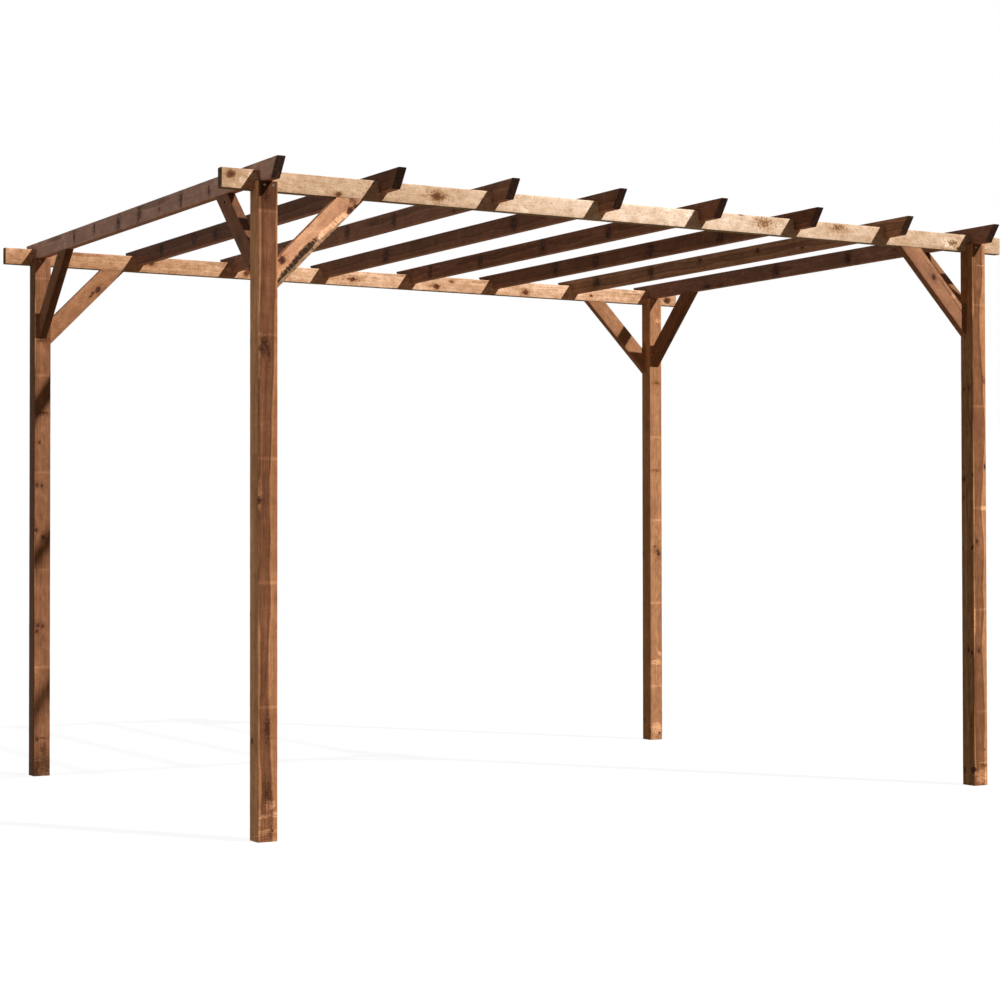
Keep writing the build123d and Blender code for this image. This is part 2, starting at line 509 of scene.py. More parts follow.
def planed_timber():
    """Builds the node tree of a planed timber: an eased section run along a line, a little worn."""
    tree = new_group("planed_timber", "GeometryNodeTree", {
        "Float": ("Length", "Width", "Depth", "Arris", "Station", "Wear", "Wane", "Wane length", "Seed"),
        "Int": ("Side cuts",), "Material": ("Wood",),
    }, {"Geometry": ("Geometry",)})
    given = add(tree, "NodeGroupInput").outputs
    end = add(tree, "ShaderNodeCombineXYZ", {2: given["Length"]})
    line = add(tree, "GeometryNodeCurvePrimitiveLine", {"End": end})
    line = add(tree, "GeometryNodeResampleCurve", {"Curve": line, "Length": given["Station"]}, mode="LENGTH")
    section = {"Width": given["Width"], "Height": given["Depth"]}
    section = add(tree, "GeometryNodeCurvePrimitiveQuadrilateral", section)
    section = add(tree, "GeometryNodeSubdivideCurve", {"Curve": section, "Cuts": given["Side cuts"]})
    eased = {"Curve": section, "Count": 3, "Radius": given["Arris"]}
    section = add(tree, "GeometryNodeFilletCurve", eased, mode="POLY")
    bar = add(tree, "GeometryNodeCurveToMesh", {"Curve": line, "Profile Curve": section, "Fill Caps": True})
    bar = add(tree, "GeometryNodeMergeByDistance", {"Geometry": bar, "Distance": 0.00005})

    place = add(tree, "GeometryNodeInputPosition")
    known = {socket.name: socket for socket in given}
    known.update(zip("xyz", add(tree, "ShaderNodeSeparateXYZ", {0: place}).outputs))
    for name, scale, more in (("wear", 22.0, {}), ("bark", 70.0, {"Roughness": 0.7})):
        inputs = {"Vector": place, "W": given["Seed"], "Scale": scale, "Detail": 3.0, **more}
        known[name] = add(tree, NOISE, inputs, noise_dimensions="4D")
    work_out(tree, known, (
        # How near a point is to an arris, from 0 in mid-face to 1, is the product of its two part-widths.
        ("across", "DIVIDE", "x", "Width"),
        ("deep", "DIVIDE", "y", "Depth"),
        ("corner", "MULTIPLY", "across", "deep"),
        ("corner", "ABSOLUTE", "corner"),
        ("corner", "LINEAR", "corner", 0.16, 0.24, 0.3, 1.6),
        ("loss", "MULTIPLY", "wear", "corner"),
        ("loss", "MULTIPLY", "loss", "Wear"),
        # Wane: the lower front arris was the outside of the log, so it is missing by a rough slant there.
        ("edge x", "MULTIPLY_ADD", "Width", 0.5, "x"),
        ("edge y", "MULTIPLY_ADD", "Depth", 0.5, "y"),
        ("near", "ADD", "edge x", "edge y"),
        ("bark", "LINEAR", "bark", 0.25, 0.75, 0.6, 1.25),
        ("fade", "DIVIDE", "z", "Wane length"),
        ("fade", "SMOOTHSTEP", "fade", 0.55, 1.0, 1.0, 0.0),
        ("missing", "MULTIPLY", "bark", "fade"),
        ("missing", "MULTIPLY", "missing", "Wane"),
        ("missing", "SUBTRACT", "missing", "near"),
        ("missing", "MAXIMUM", "missing", 0.0),
        ("missing", "MULTIPLY", "missing", 0.5),
    ))
    # Wear draws a point in towards the middle of its timber, by all of its loss at 33 mm from there.
    pull = add(tree, VECTOR, {0: place, 1: (-30.0, -30.0, 0.0)}, operation="MULTIPLY")
    pull = add(tree, VECTOR, {0: pull, "Scale": known["loss"]}, operation="SCALE")
    slant = add(tree, "ShaderNodeCombineXYZ", {0: known["missing"], 1: known["missing"]})
    move = add(tree, VECTOR, {0: pull, 1: slant}, operation="ADD")
    bar = add(tree, "GeometryNodeSetPosition", {"Geometry": bar, "Offset": move})
    bar = add(tree, "GeometryNodeRealizeInstances", {"Geometry": bar})
    bar = add(tree, "GeometryNodeSetMaterial", {"Geometry": bar, "Material": given["Wood"]})
    add(tree, "NodeGroupOutput", {0: bar})
    return tree


def mark_wood(piece, placed, section, waned, side):
    """Keeps each point's place in its timber, in millimetres, and marks sawn faces and the one side whose
    colour is painted light and shade.
    """
    mesh = piece.data
    inverse = placed.inverted()
    turn = inverse.to_3x3()
    places = mesh.attributes.new("timber", "FLOAT_VECTOR", "POINT")
    local = [inverse @ v.co * MM for v in mesh.vertices]
    places.data.foreach_set("vector", [n for point in local for n in point])
    sawn = mesh.attributes.new("sawn", "FLOAT", "FACE")
    # The side attribute marks the one side whose colour is painted light and shade.
    painted_side_mask = mesh.attributes.new("side", "FLOAT", "FACE")
    facing = {"left": -X, "right": X, "front": -Y, "back": Y}.get(side, Vector())
    half = [s * MM / 2 for s in section[:2]]
    # Sawn is 1 on an end, 0.5 inside a notch or hole, 2 on the wane and 0 on planed faces.
    for face in mesh.polygons:
        way = turn @ face.normal
        middle = inverse @ face.center * MM
        value = 0.0
        if abs(way.z) > END_FACING:
            value = 1.0
        elif half[0] - abs(middle.x) > CUT_INSET and half[1] - abs(middle.y) > CUT_INSET:
            value = 0.5
        inset = (half[0] + middle.x) + (half[1] + middle.y)
        if waned and way.x < WANE_FACING and way.y < WANE_FACING and inset > WANE_INSET:
            value = 2.0
        sawn.data[face.index].value = value
        painted_side_mask.data[face.index].value = float(facing.dot(way) > SIDE_FACING)
    mesh.shade_smooth()
    mesh.set_sharp_from_angle(angle=math.radians(35))


def stained_pine():
    """Builds the node group of stained pine: solid wood, sliced wherever a face cuts it."""
    tree = new_group("stained_pine_figure", "ShaderNodeTree", {
        "Vector": ("Place", "Pith", "Half size", "Stickers"),
        "Color": ("Sap", "Heart", "Knot wood", "Painted side colour"),
        "Float": ("Seed", "Sawn", "Side", *(name for name in PLAIN if name != "Stickers")),
    }, {"Color": ("Colour",), "Float": ("Roughness", "Height")})
    given = add(tree, "NodeGroupInput").outputs
    place = given["Place"]
    # What the group is given has a capital, and what is worked out from it has none.
    known = {socket.name: socket for socket in given}
    for names, vector in (
        (("x", "y", "z"), "Place"), (("half x", "half y"), "Half size"),
        (("first", "spacing", "paleness"), "Stickers"),
    ):
        known.update(zip(names, add(tree, "ShaderNodeSeparateXYZ", {0: given[vector]}).outputs))

    # Noises whose grains have these sizes in millimetres across, deep and long, each with a seed of its own.
    for number, (name, size, detail) in enumerate((
        ("fibre", (2.2, 2.2, 150), 3), ("streak", (8, 8, 520), 2), ("cloud", (70, 70, 150), 2),
        ("swirl", (26, 26, 240), 2), ("drift", (60, 60, 200), 2), ("lump", (9, 9, 9), 2),
        ("split", (3.2, 3.2, 380), 2), ("speck", (4, 4, 9), 1), ("chafe", (20, 20, 60), 2),
        ("lath edge", (15, 15, 90), 2), ("saw mark", (18, 18, 5.5), 2), ("rub", (22, 22, 2.4), 2),
        ("blotch", (22, 22, 34), 3), ("plate", (34, 34, 4.2), 3), ("gloss", (12, 12, 120), 2),
        ("nap", (1.6, 1.6, 60), 2),
    )):
        stretched = add(tree, VECTOR, {0: place, 1: [1 / s for s in size]}, operation="MULTIPLY")
        moved = add(tree, MATH, {0: given["Seed"], 1: 1.37 * number}, operation="ADD")
        if name in ("plate", "saw mark"):
            # A saw leaves its strokes a little askew.
            askew = add(tree, MATH, {0: known["y"], 1: 0.3 / size[2]}, operation="MULTIPLY")
            askew = add(tree, "ShaderNodeCombineXYZ", {2: askew})
            stretched = add(tree, VECTOR, {0: stretched, 1: askew}, operation="ADD")
        inputs = {"Vector": stretched, "W": moved, "Scale": 1.0, "Detail": float(detail)}
        known[name] = add(tree, NOISE, inputs, noise_dimensions="4D")

    # The pith wanders down the log by about a centimetre in half a metre.
    work_out(tree, known, (
        ("along", "MULTIPLY", "Seed", 5.3),
        ("along", "MULTIPLY_ADD", "z", 1 / 420, "along"),
    ))
    wander = add(tree, NOISE, {"W": known["along"], "Scale": 1.0, "Detail": 1.0}, noise_dimensions="1D")
    centred = {0: wander.outputs["Color"], 1: (2.0, 2.0, 0.0), 2: (-1.0, -1.0, 0.0)}
    wander = add(tree, VECTOR, centred, operation="MULTIPLY_ADD")
    wander = add(tree, VECTOR, {0: wander, "Scale": given["Wander"]}, operation="SCALE")
    out = add(tree, VECTOR, {0: place, 1: given["Pith"]}, operation="SUBTRACT")
    out = add(tree, VECTOR, {0: out, 1: wander}, operation="SUBTRACT")
    out = add(tree, VECTOR, {0: out, 1: (1.0, 1.0, 0.0)}, operation="MULTIPLY")
    known["radius"] = add(tree, VECTOR, {0: out}, operation="LENGTH").outputs["Value"]

    work_out(tree, known, (
        # Knots and whorls have ragged outlines, as if grown.
        ("knot", "MULTIPLY_ADD", "lump", 0.55, -0.27),
        ("knot", "ADD", "Knot", "knot"),
        ("bar", "MULTIPLY_ADD", "lump", 2.6, -1.3),
        ("bar", "ADD", "Bar", "bar"),
        # The rings swell out round a knot.
        ("swell", "MULTIPLY", "Knot", "Knot"),
        ("swell", "MULTIPLY", "swell", -0.35),
        ("swell", "EXPONENT", "swell"),
        *pile("radius", ("swell", 7.0), ("swirl", 9.0)),
        # Late wood is the dark edge of each ring.
        ("ring", "DIVIDE", "radius", "Ring width"),
        ("ring", "FRACT", "ring"),
        ("late", "SMOOTHSTEP", "ring", 0.35, 0.92),
        ("fall", "SMOOTHSTEP", "ring", 0.94, 1.0, 1.0, 0.0),
        ("late", "MULTIPLY", "late", "fall"),
        # How far a point is outside the heartwood.
        ("bound", "SUBTRACT", "radius", "Heart radius"),
        *pile("bound", ("drift", 14.0)),
        ("bound", "SUBTRACT", "bound", 11.0),
        ("sapwood", "SMOOTHSTEP", "bound", -2.5, 2.5),
        # Spreads of some marks, each with its middle and how quickly it dies away.
        *bell("line", "bound", -1.0, -0.12),
        *bell("glow", "bound", 4.0, -0.2),
        *bell("halo", "Knot", 0.0, -0.3),
        *bell("shade", "bar", 0.0, -1.1),
        *bell("core", "bar", 0.0, -3.4),
        *bell("rim", "knot", 0.9, -26.0),
        *bell("eye", "knot", 0.0, -3.2),
        # Which side of the timber a point is on, and how near an arris.
        ("off x", "ABSOLUTE", "x"),
        ("off y", "ABSOLUTE", "y"),
        ("part x", "DIVIDE", "off x", "half x"),
        ("part y", "DIVIDE", "off y", "half y"),
        ("on front", "GREATER_THAN", "part y", "part x"),
        ("gap x", "SUBTRACT", "half x", "off x"),
        ("gap y", "SUBTRACT", "half y", "off y"),
        ("gap", "ADD", "gap x", "gap y"),
        *pile("gap", ("chafe", 5.0)),
        ("arris", "SMOOTHSTEP", "gap", 3.0, 6.5, 1.0, 0.0),
        # Sticker marks are pale bands where laths kept the stain off, one every spacing.
        ("step", "SUBTRACT", "z", "first"),
        ("step", "DIVIDE", "step", "spacing"),
        ("whole", "ROUND", "step"),
        ("step", "SUBTRACT", "step", "whole"),
        ("step", "MULTIPLY", "step", "spacing"),
        ("step", "ABSOLUTE", "step"),
        *pile("step", ("lath edge", 8.0)),
        ("lath", "SMOOTHSTEP", "step", 6.0, 13.0, 1.0, 0.0),
        ("lath", "MULTIPLY", "lath", "paleness"),
        ("lath", "MULTIPLY", "lath", "on front"),
        # Scuffs are rubbed across the grain, in the pale marks and near a post's foot.
        ("rubbed", "MULTIPLY_ADD", "lump", 0.7, "rub"),
        ("rubbed", "SMOOTHSTEP", "rubbed", 0.62, 0.94),
        ("pale", "SMOOTHSTEP", "Pale", 0.7, 1.2, 1.0, 0.0),
        ("pale", "MULTIPLY", "pale", "rubbed"),
        ("foot", "MAXIMUM", "Foot", 0.001),
        ("foot", "DIVIDE", "z", "foot"),
        ("foot", "LINEAR", "foot", 0.0, 1.0, 1.0, 0.0),
        ("scuff", "SMOOTHSTEP", "rub", 0.5, 0.66),
        ("scuff", "MULTIPLY", "foot", "scuff"),
        ("crack", "SMOOTHSTEP", "split", 0.70, 0.76),
        ("fleck", "SMOOTHSTEP", "speck", 0.57, 0.67),
        ("fleck", "MULTIPLY", "fleck", "Flecks"),
        ("mottle", "MULTIPLY_ADD", "Flecks", 2.2, 0.35),
        ("mottle", "MULTIPLY", "blotch", "mottle"),
        ("stroke", "MULTIPLY", "saw mark", "Strokes"),
        ("figure", "MULTIPLY", "late", 0.17),
        *pile("figure", ("fibre", 0.5), ("streak", 0.6)),
        ("figure", "SUBTRACT", "figure", 0.6),
        # What flecks and strokes add on the whole is taken off again.
        ("depth", "MULTIPLY_ADD", "Flecks", -1.15, -0.175),
        *pile("depth", ("Strokes", -0.8)),
        ("depth", "ADD", "Tone", "depth"),
        # Each mark adds to the depth of stain.
        *pile(
            "depth", ("figure", "Figure"), ("line", 0.2), ("glow", -0.12), ("cloud", 0.6), ("mottle", 1.0),
            ("stroke", 1.6), ("shade", 0.3), ("core", "Whorl"), ("halo", 0.3), ("crack", 0.6), ("fleck", 1.2),
            ("arris", -0.22), ("lath", -0.24), ("pale", -0.55), ("scuff", -0.42),
        ),
        # The warm part of the stain reddens as it deepens, and the rest only passes less light back.
        ("depth", "SUBTRACT", "depth", 1.38),
        ("warm", "MULTIPLY", "depth", "Warmth"),
        ("depth", "SUBTRACT", "depth", "warm"),
        ("depth", "MULTIPLY", "depth", -1.5),
        ("depth", "EXPONENT", "depth"),
        ("depth", "MINIMUM", "depth", 1.9),
        ("warm", "ADD", "warm", 1.0),
        ("warm", "MAXIMUM", "warm", 0.3),
        # A knot is darker, tighter wood with a broken near-black rim and a dark eye.
        ("gate", "SMOOTHSTEP", "lump", 0.38, 0.58, 0.1, 1.0),
        ("rim", "MULTIPLY", "rim", "gate"),
        ("twist", "MULTIPLY", "knot", 3.0),
        ("twist", "FRACT", "twist"),
        ("dark", "MULTIPLY_ADD", "twist", 0.4, 0.38),
        *pile("dark", ("rim", 0.9), ("eye", 0.95)),
        ("dark", "MULTIPLY_ADD", "dark", -1.5, 1.5),
        ("dark", "EXPONENT", "dark"),
        ("inside", "SMOOTHSTEP", "knot", 0.78, 1.18, 1.0, 0.0),
        # Bark left along a waney edge: dark strokes across it with pale chips between them.
        ("chip", "SMOOTHSTEP", "plate", 0.54, 0.68),
        ("bark", "MULTIPLY_ADD", "lump", 1.2, "Bark"),
        ("bark", "SMOOTHSTEP", "bark", 1.35, 1.95, 1.0, 0.0),
        # The slant under the bark is bare pale wood, and sawn ends soak up the darkest stain.
        ("slant", "GREATER_THAN", "Sawn", 1.5),
        ("slant", "MULTIPLY", "slant", 0.75),
        ("end", "COMPARE", "Sawn", 1.0, 0.1),
        ("soak", "LINEAR", "lump", 0.3, 0.7, 1.0, 0.72),
        ("soak", "MULTIPLY", "soak", "end"),
        ("rough", "MULTIPLY_ADD", "inside", -0.1, 0.66),
        *pile("rough", ("end", 0.15), ("gloss", 0.16)),
        ("ridge", "MULTIPLY", "chip", "bark"),
        ("height", "MULTIPLY", "late", 0.1),
        *pile(
            "height", ("nap", 0.35), ("inside", 0.2), ("crack", -0.5), ("stroke", 0.5), ("blotch", 0.3),
            ("ridge", 1.2),
        ),
    ))
    plates = {0: known["chip"], 6: colour("#3E2A1C"), 7: colour("#A87B56")}
    plates = add(tree, MIX, plates, data_type="RGBA").outputs[2]
    knot_wood = {0: given["Knot wood"], "Scale": known["dark"]}
    knot_wood = add(tree, VECTOR, knot_wood, operation="SCALE").outputs[0]
    # Heartwood under sapwood, and over both the one marked side's colour of painted light and shade.
    wood = given["Heart"]
    for share, over in ((known["sapwood"], given["Sap"]), (given["Side"], given["Painted side colour"])):
        wood = add(tree, MIX, {0: share, 6: wood, 7: over}, data_type="RGBA").outputs[2]
    wood = add(tree, "ShaderNodeGamma", {0: wood, 1: known["warm"]})
    wood = add(tree, VECTOR, {0: wood, "Scale": known["depth"]}, operation="SCALE").outputs[0]
    for share, over in (
        ("inside", knot_wood), ("bark", plates), ("slant", colour("#D2AC86")), ("soak", colour("#33211A")),
    ):
        wood = add(tree, MIX, {0: known[share], 6: wood, 7: over}, data_type="RGBA").outputs[2]
    add(tree, "NodeGroupOutput", {"Colour": wood, "Roughness": known["rough"], "Height": known["height"]})
    return tree


def spot(node, side, across):
    """Where a mark's middle lies across its timber, as x and y."""
    face = POST_FACE if node.startswith("post") else BOARD_FACE
    return {"front": (across, -face), "left": (-face, across), "right": (face, across)}[side]


def nearest(tree, place, marks):
    """The distance to the nearest of some marks, in parts of that mark's own size."""
    least = None
    for x, y, z, *size in marks:
        if len(size) == 1:
            reach = (size[0], size[0], size[0] * 1.25)
        # A broad mark goes into its timber along y where its middle is further out in y than in x.
        elif abs(x) < abs(y):
            reach = (size[0], MARK_DEPTH, size[1])
        else:
            reach = (max(size[0], MARK_DEPTH), *size)
        moved = (-x / reach[0], -y / reach[1], -z / reach[2])
        scaled = add(tree, VECTOR, {0: place, 1: [1 / r for r in reach], 2: moved}, operation="MULTIPLY_ADD")
        far = add(tree, VECTOR, {0: scaled}, operation="LENGTH").outputs["Value"]
        least = far if least is None else add(tree, MATH, {0: least, 1: far}, operation="MINIMUM").outputs[0]
    return least


def more_knots(node, section, sides):
    """Knots on the sides that the marks leave out, a whorl every half metre or so."""
    rolls = random.Random("knots " + node)
    half = [s * MM / 2 for s in section[:2]]
    knots = []
    z = rolls.uniform(*FIRST_KNOT)
    while z < section[2] * MM - KNOT_CLEAR:
        side = rolls.choice(sides.split())
        size = rolls.uniform(*KNOT_RADIUS)
        u = rolls.uniform(-KNOT_OFF, KNOT_OFF)
        places = {
            "right": (half[0], u * half[1]), "left": (-half[0], u * half[1]),
            "back": (u * half[0], half[1]), "front": (u * half[0], -half[1]),
        }
        knots.append((*places[side], z, size))
        z += rolls.uniform(*KNOT_STEP)
    return knots


def pine_material(node, figure, section, tone, seed):
    """Planed softwood, pressure-stained brown: matt, the grain shows through and knots take it darkest."""
    marks = MARKS[node]
    kind = node.split("_")[0]
    material = bpy.data.materials.new("planed_stained_pine_" + node)
    tree = emptied(material)
    place = add(tree, "ShaderNodeAttribute", attribute_name="timber").outputs["Vector"]
    values = {**PLAIN, **KINDS[kind]}
    values = {name: marks.get(name, value) for name, value in values.items()}
    tint = marks.get("tint", (1, 1, 1))
    # Marks that give no pith leave it to the seed, up to 15 mm off the middle across and 25 mm deep.
    x, y = marks.get("pith", ((seed * 37) % 30 - 15, (seed * 53) % 50 - 25))
    values.update({
        "Place": place,
        "Sawn": add(tree, "ShaderNodeAttribute", attribute_name="sawn").outputs["Fac"],
        # Side marks the one side whose colour, given below, is painted light and shade.
        "Side": add(tree, "ShaderNodeAttribute", attribute_name="side").outputs["Fac"],
        "Half size": (section[0] * MM / 2, section[1] * MM / 2, 0),
        "Pith": (x, y, 0),
        "Seed": seed,
        "Sap": [a * b for a, b in zip(tone["sap"], tint)] + [1.0],
        "Heart": [a * b for a, b in zip(tone["heart"], tint)] + [1.0],
        "Knot wood": tone["knot"],
        # The colour of painted light and shade on that side.
        "Painted side colour": colour(marks["painted_side"][1]) if "painted_side" in marks else tone["side"],
    })

    # Curves along the timber: where the heart runs and how wide it is, and how deep the stain is.
    long = section[2] * MM
    for curve, name, bottom, top in (
        ("heart", "Pith", -40, 40), ("tone", "Tone", 0, 2), ("girth", "Heart radius", 0, 60),
    ):
        points = marks.get(curve)
        if points:
            part = add(tree, "ShaderNodeSeparateXYZ", {0: place}).outputs[2]
            part = add(tree, MATH, {0: part, 1: 1 / long}, operation="MULTIPLY")
            bend = add(tree, "ShaderNodeFloatCurve", {"Value": part})
            line = bend.mapping.curves[0].points
            line[0].location = (0, (points[0][1] - bottom) / (top - bottom))
            line[1].location = (1, (points[-1][1] - bottom) / (top - bottom))
            for z, value in points[1:-1]:
                line.new(z / long, (value - bottom) / (top - bottom))
            bend.mapping.update()
            full = {0: bend, 1: float(top - bottom), 2: float(bottom)}
            values[name] = add(tree, MATH, full, operation="MULTIPLY_ADD").outputs[0]
    if "heart" in marks:
        values["Pith"] = add(tree, "ShaderNodeCombineXYZ", {0: values["Pith"], 1: y}).outputs[0]

    # The marks on each side, and the knots placed by rule.
    wobble = add(tree, NOISE, {"Vector": place, "Scale": 0.07, "Detail": 2.0}).outputs["Color"]
    spreads = {0: wobble, 1: WOBBLE, 2: [-way / 2 for way in WOBBLE]}
    wobble = add(tree, VECTOR, spreads, operation="MULTIPLY_ADD")
    wobbly = add(tree, VECTOR, {0: place, 1: wobble}, operation="ADD").outputs[0]
    for name, group in (("Knot", "knots"), ("Bar", "bars"), ("Pale", "pales"), ("Bark", "bark")):
        found = []
        for side in ("front", "left", "right"):
            for across, z, *size in marks.get(side + " " + group, ()):
                found.append((*spot(node, side, across), z, *size))
        if group == "knots":
            found += more_knots(node, section, marks.get("open", OPEN_SIDES[kind]))
        if found:
            values[name] = nearest(tree, wobbly, found)
    wood = add(tree, "ShaderNodeGroup", values, node_tree=figure)
    bump = {"Strength": 0.7, "Distance": 0.001, "Height": wood.outputs["Height"]}
    bump = add(tree, "ShaderNodeBump", bump)
    surface = add(tree, "ShaderNodeBsdfPrincipled", {
        "Base Color": wood.outputs["Colour"], "Roughness": wood.outputs["Roughness"], "Normal": bump,
        "IOR": 1.5, "Specular IOR Level": 0.1,
    })
    add(tree, "ShaderNodeOutputMaterial", {"Surface": surface})
    return material


def make_timbers(context, kind, tones):
    """Makes every timber of one kind over its node in the frame."""
    wear = context.scene.pergola_timber
    figure = bpy.data.node_groups.get("stained_pine_figure") or stained_pine()
    shape = bpy.data.node_groups.get("planed_timber") or planed_timber()
    for number, node in enumerate(sorted(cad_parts)):
        if not node.startswith(kind):
            continue
        placed, section = timber_frame(node)
        tone = tones[node] if node in tones else tones[kind]
        wood = pine_material(node, figure, section, tone, number * SEED_STEP + 1)
        spare = END_SPARE if kind in ("rafter", "brace") else 0.0
        waned = node == "brace_to_beam_front_left"
        piece = grow("planed_" + node, shape, {
            "Length": section[2] + 2 * spare, "Width": section[0], "Depth": section[1],
            "Station": WANE_STATION if waned else wear.station, "Arris": wear.arris,
            "Side cuts": WANE_CUTS if waned else SIDE_CUTS, "Wear": wear.edge_wear,
            "Wane": wear.wane if waned else 0.0, "Wane length": WANE_LENGTH,
            "Seed": float(number), "Wood": wood,
        })
        settle(piece)
        piece.data.transform(placed @ Matrix.Translation((0, 0, -spare)))
        carve(piece, cuts_of(node))
        # The one side that gets a colour of painted light and shade.
        side = MARKS[node].get("painted_side", tone.get("facing", ("",)))[0]
        mark_wood(piece, placed, section, waned, side)
        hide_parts(node)
        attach(piece, "root")


def screw_heads():
    """Builds the node tree that sets a cross-recessed head on every point it is given."""
    tree = new_group("screw_heads", "GeometryNodeTree", {
        "Geometry": ("Geometry",), "Float": ("Head radius", "Head height", "Recess"), "Int": ("Seed",),
        "Material": ("Steel",),
    }, {"Geometry": ("Geometry",)})
    given = add(tree, "NodeGroupInput").outputs
    known = {socket.name: socket for socket in given}
    work_out(tree, known, (
        ("crown", "MULTIPLY", "Head radius", 0.72),
        ("arm", "MULTIPLY", "Recess", 0.26),
        ("deep", "MULTIPLY", "Head height", 4.0),
    ))
    body = add(tree, "GeometryNodeMeshBoolean", operation="UNION")
    for top, bottom, tall, drop in (
        (known["crown"], given["Head radius"], given["Head height"], 0),
        (given["Head radius"], 0.0015, 0.003, -0.003),
    ):
        cone = {"Vertices": 20, "Radius Top": top, "Radius Bottom": bottom, "Depth": tall}
        cone = add(tree, "GeometryNodeMeshCone", cone)
        if drop:
            cone = add(tree, "GeometryNodeTransform", {"Geometry": cone, "Translation": (0, 0, drop)})
        tree.links.new(cone.outputs[0], body.inputs["Mesh 2"])
    head = add(tree, "GeometryNodeMeshBoolean", {"Mesh 1": body}, operation="DIFFERENCE")
    for wide, high in ((given["Recess"], known["arm"]), (known["arm"], given["Recess"])):
        size = add(tree, "ShaderNodeCombineXYZ", {0: wide, 1: high, 2: known["deep"]})
        slot = add(tree, "GeometryNodeMeshCube", {"Size": size})
        slot = add(tree, "GeometryNodeTransform", {"Geometry": slot, "Translation": (0, 0, 0.0009)})
        tree.links.new(slot.outputs[0], head.inputs["Mesh 2"])
    outward = add(tree, "GeometryNodeInputNamedAttribute", {"Name": "outward"}, data_type="FLOAT_VECTOR")
    facing = add(tree, "FunctionNodeAlignRotationToVector", {"Vector": outward}, axis="Z")
    turn = {2: 0.0, 3: math.tau, "Seed": given["Seed"]}
    turn = add(tree, "FunctionNodeRandomValue", turn, data_type="FLOAT").outputs[1]
    spin = add(tree, "ShaderNodeCombineXYZ", {2: turn})
    turned = add(tree, "FunctionNodeRotateRotation", {0: facing, 1: spin}, rotation_space="LOCAL")
    heads = {"Points": given["Geometry"], "Instance": head, "Rotation": turned}
    heads = add(tree, "GeometryNodeInstanceOnPoints", heads)
    heads = add(tree, "GeometryNodeRealizeInstances", {"Geometry": heads})
    heads = add(tree, "GeometryNodeSetMaterial", {"Geometry": heads, "Material": given["Steel"]})
    add(tree, "NodeGroupOutput", {0: heads})
    return tree


def steel_material():
    """Zinc-plated steel, stamped and tumbled: a dull silver, mottled where the plating has whitened."""
    material = bpy.data.materials.new("zinc_plated_steel")
    tree = emptied(material)
    coords = add(tree, "ShaderNodeTexCoord").outputs["Object"]
    grain = add(tree, NOISE, {"Vector": coords, "Scale": 900.0, "Detail": 3.0})
    tint = add(tree, MIX, {0: grain, 6: colour("#6F6258"), 7: colour("#94877A")}, data_type="RGBA").outputs[2]
    rough = add(tree, STEP, {"Value": grain, "To Min": 0.45, "To Max": 0.7})
    surface = {"Base Color": tint, "Roughness": rough, "Metallic": 1.0}
    surface = add(tree, "ShaderNodeBsdfPrincipled", surface)
    add(tree, "ShaderNodeOutputMaterial", {"Surface": surface})
    return material


def a_length(name, description, default, least, most):
    """A length that a user can change."""
    words = {"name": name, "description": description, "unit": "LENGTH"}
    return FloatProperty(default=default, min=least, max=most, **words)


def a_colour(name, description, text):
    """A colour that a user can change."""
    words = {"name": name, "description": description, "subtype": "COLOR"}
    return FloatVectorProperty(size=4, min=0, max=1, default=colour(text), **words)


class PergolaTimber(bpy.types.PropertyGroup):
    """Sizes of the planed timbers' edges and wear."""

    arris: a_length("Arris radius", "How far the long edges are rounded", 0.0025, 0.0005, 0.006)
    station: a_length("Station spacing", "Distance between cross-sections of a timber", 0.03, 0.005, 0.2)
    edge_wear: a_length("Edge wear", "How deep the edges are worn, at most", 0.0006, 0.0, 0.002)
    wane: a_length("Wane", "How much of the waney brace's edge is missing", 0.016, 0.0, 0.03)


class PergolaFinish(bpy.types.PropertyGroup):
    """Colours of the stained wood, and the painted light on the rafters' undersides."""

    post_sap: a_colour("Post sapwood", "Stained sapwood of the posts", "#B27C54")
    post_heart: a_colour("Post heartwood", "Stained heartwood of the posts", "#85573A")
    front_beam: a_colour("Front beam", "Pale wood of the front beam", "#E7C29F")
    rear_beam: a_colour("Rear beam", "Tan wood of the rear beam", "#CE9B73")
    rafter: a_colour("Rafters", "Stained wood of the rafters", "#AE8875")
    # The rafters' undersides are painted paler, standing in for light bounced up from below.
    rafter_under_painted_light: a_colour("Rafter undersides", "Painted bounce light on the undersides of the rafters", "#B98360")
    brace: a_colour("Braces", "Stained wood of the knee braces", "#BD875F")
    knot: a_colour("Knots", "Stained knots", "#5A3424")


class PergolaScrews(bpy.types.PropertyGroup):
    """Sizes of the screw heads."""

    head_radius: a_length("Head radius", "Radius of a screw's head", 0.0042, 0.002, 0.01)
    head_height: a_length("Head height", "How far a head is domed", 0.0008, 0.0003, 0.003)
    brace_sink: a_length("Brace sink", "How deep the braces' screws are driven", 0.005, 0.0, 0.01)
    seed: IntProperty(name="Seed", description="Turns the cross slots at random", default=4)


class PergolaStage(bpy.types.PropertyGroup):
    """Light and floor of the studio."""

    key: FloatProperty(name="Key light", description="Strength of the main lamp", default=3.9, min=0, max=20)
    softness: FloatProperty(
        name="Key softness", description="How wide the main lamp looks",
        default=math.radians(1.6), min=0, max=1, subtype="ANGLE",
    )
    fill: FloatProperty(
        name="Fill light", description="Strength of the light from all round", default=0.056, min=0, max=2,
    )
    side_light: FloatProperty(
        name="Side light", description="Power of the long soft lamp on the left",
        default=100.0, min=0, max=2000, unit="POWER",
    )
    floor: a_colour("Floor", "Pale studio floor", "#F2F1EF")


def shade_of(tint, factor):
    """A colour at another strength."""
    return [c * factor for c in tint[:3]] + [1.0]


